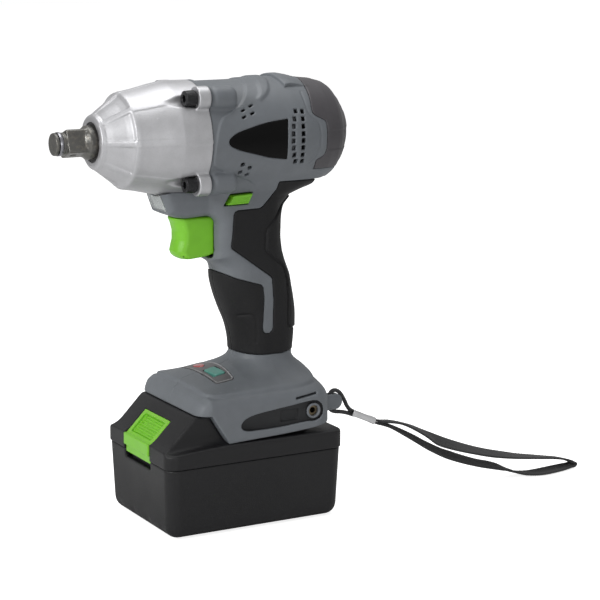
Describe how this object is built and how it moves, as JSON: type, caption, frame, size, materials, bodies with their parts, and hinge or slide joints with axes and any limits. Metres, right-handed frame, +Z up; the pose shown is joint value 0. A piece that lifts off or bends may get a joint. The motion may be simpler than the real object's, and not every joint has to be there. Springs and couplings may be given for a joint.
{
  "type": "cordless impact wrench",
  "caption": "Pistol-grip cordless impact wrench with a square drive, ribbed alloy hammer case, slide-on battery, wrist strap and a working planetary and hammer train.",
  "frame": {"origin": "centre of the battery's underside, where the tool stands", "axes": "+X out of the square drive, +Y to the tool's left side, +Z up"},
  "size_m": [0.3275, 0.08, 0.2424],
  "materials": {
    "cast_aluminium": "satin cast",
    "sintered_bronze": "porous sintered",
    "black_rubber": "matt",
    "phosphated_steel": "dark phosphate",
    "ground_steel": "ground",
    "spring_steel": "drawn wire",
    "chrome_steel": "polished",
    "black_screw": "black oxide",
    "sintered_steel": "sintered",
    "dark_nylon": "moulded",
    "stator_steel": "zinc passivated",
    "ferrite": "ferrite",
    "lamination": "stacked sheet",
    "copper_wire": "enamelled copper",
    "commutator_copper": "turned copper",
    "phenolic": "phenolic board",
    "carbon": "carbon",
    "grey_nylon": "fine spark texture",
    "grip_rubber": "soft touch",
    "cap_rubber": "soft touch",
    "badge_black": "satin label",
    "green_plastic": "satin",
    "clear_lens": "clear moulded",
    "white_board": "solder mask",
    "panel_plastic": "satin",
    "red_lens": "translucent red",
    "green_board": "solder mask",
    "brass": "knurled",
    "battery_plastic": "spark texture",
    "cell_wrap": "shrink wrap",
    "cord_nylon": "braided",
    "webbing_nylon": "woven"
  },
  "bodies": {
    "housing": {"hammer_case": "cast_aluminium", "nose_bush": "sintered_bronze", "oil_seal": "black_rubber", "ring_gear": "sintered_steel", "gear_plate": "dark_nylon", "spindle_bearing": "chrome_steel", "case_gasket": "black_rubber", "case_screws": "black_screw", "stator_ring": "stator_steel", "magnets": "ferrite", "rotor_bearings": "chrome_steel", "brush_holder": "phenolic", "carbon_brushes": "carbon", "housing_left": "grey_nylon", "housing_right": "grey_nylon", "grip_left": "grip_rubber", "grip_right": "grip_rubber", "rear_cap": "cap_rubber", "housing_screws": "black_screw", "badge_left": "badge_black", "badge_right": "badge_black", "trigger_switch": "dark_nylon", "trigger_spring": "spring_steel", "led_lens": "clear_lens", "led_board": "white_board", "control_panel": "panel_plastic", "indicator_lens": "red_lens", "control_board": "green_board", "terminal_block": "dark_nylon", "hook_inserts": "brass"},
    "anvil_body": {"anvil": "phosphated_steel", "friction_ring": "spring_steel"},
    "hammer_body": {"hammer": "phosphated_steel", "spring_washer": "ground_steel"},
    "spindle_body": {"spindle": "ground_steel", "planet_pins": "chrome_steel", "cam_balls": "chrome_steel", "hammer_spring": "spring_steel"},
    "planet_1": {"planet_gear_1": "sintered_steel"},
    "planet_2": {"planet_gear_2": "sintered_steel"},
    "planet_3": {"planet_gear_3": "sintered_steel"},
    "rotor": {"rotor_shaft": "ground_steel", "rotor_core": "lamination", "rotor_windings": "copper_wire", "commutator": "commutator_copper", "cooling_fan": "dark_nylon", "pinion": "ground_steel"},
    "trigger_body": {"trigger": "green_plastic"},
    "selector_body": {"selector": "green_plastic"},
    "mode_key": {"mode_button": "green_plastic"},
    "battery": {"battery_case_lower": "battery_plastic", "battery_case_upper": "battery_plastic", "battery_cells": "cell_wrap", "cell_holder": "dark_nylon", "battery_board": "green_board", "release_spring": "spring_steel"},
    "release_key": {"release_button": "green_plastic"},
    "strap": {"strap_cord": "cord_nylon", "strap_ferrule": "chrome_steel", "strap_webbing": "webbing_nylon"}
  },
  "joints": [
    {"name": "spindle_spin", "type": "hinge", "parent": "housing", "child": "spindle_body", "pos_m": [0.02, 0, 0.211], "axis": [1, 0, 0], "continuous": true},
    {"name": "anvil_spin", "type": "hinge", "parent": "housing", "child": "anvil_body", "pos_m": [0.06, 0, 0.211], "axis": [1, 0, 0], "continuous": true},
    {"name": "rotor_spin", "type": "hinge", "parent": "housing", "child": "rotor", "pos_m": [-0.03, 0, 0.211], "axis": [1, 0, 0], "continuous": true},
    {"name": "hammer_slide", "type": "slide", "parent": "spindle_body", "child": "hammer_body", "axis": [-1, 0, 0], "range_m": [0, 0.008], "deforming": ["hammer_spring"]},
    {"name": "planet_1_spin", "type": "hinge", "parent": "spindle_body", "child": "planet_1", "pos_m": [0.0135, 0, 0.22315], "axis": [1, 0, 0], "continuous": true},
    {"name": "planet_2_spin", "type": "hinge", "parent": "spindle_body", "child": "planet_2", "pos_m": [0.0135, -0.01052, 0.20492], "axis": [1, 0, 0], "continuous": true},
    {"name": "planet_3_spin", "type": "hinge", "parent": "spindle_body", "child": "planet_3", "pos_m": [0.0135, 0.01052, 0.20492], "axis": [1, 0, 0], "continuous": true},
    {"name": "trigger_pull", "type": "slide", "parent": "housing", "child": "trigger_body", "axis": [-1, 0, 0], "range_m": [0, 0.006], "deforming": ["trigger_spring"]},
    {"name": "selector_slide", "type": "slide", "parent": "housing", "child": "selector_body", "axis": [0, 1, 0], "range_m": [-0.0025, 0.0025]},
    {"name": "mode_press", "type": "slide", "parent": "housing", "child": "mode_key", "axis": [-0.2113, 0, -0.9774], "range_m": [0, 0.0006]},
    {"name": "battery_slide", "type": "slide", "parent": "housing", "child": "battery", "axis": [1, 0, 0], "range_m": [0, 0.11]},
    {"name": "release_press", "type": "slide", "parent": "battery", "child": "release_key", "axis": [-0.7071, 0, -0.7071], "range_m": [0, 0.003], "deforming": ["release_spring"]},
    {"name": "strap_swing", "type": "hinge", "parent": "housing", "child": "strap", "pos_m": [-0.062, 0.022, 0.06], "axis": [0, 1, 0], "range_deg": [0, 60]}
  ],
  "couplings": [
    {"joint": "anvil_spin", "follows": "spindle_spin", "ratio": 1},
    {"joint": "rotor_spin", "follows": "spindle_spin", "ratio": 4.5},
    {"joint": "planet_1_spin", "follows": "spindle_spin", "ratio": -2.8},
    {"joint": "planet_2_spin", "follows": "spindle_spin", "ratio": -2.8},
    {"joint": "planet_3_spin", "follows": "spindle_spin", "ratio": -2.8}
  ]
}
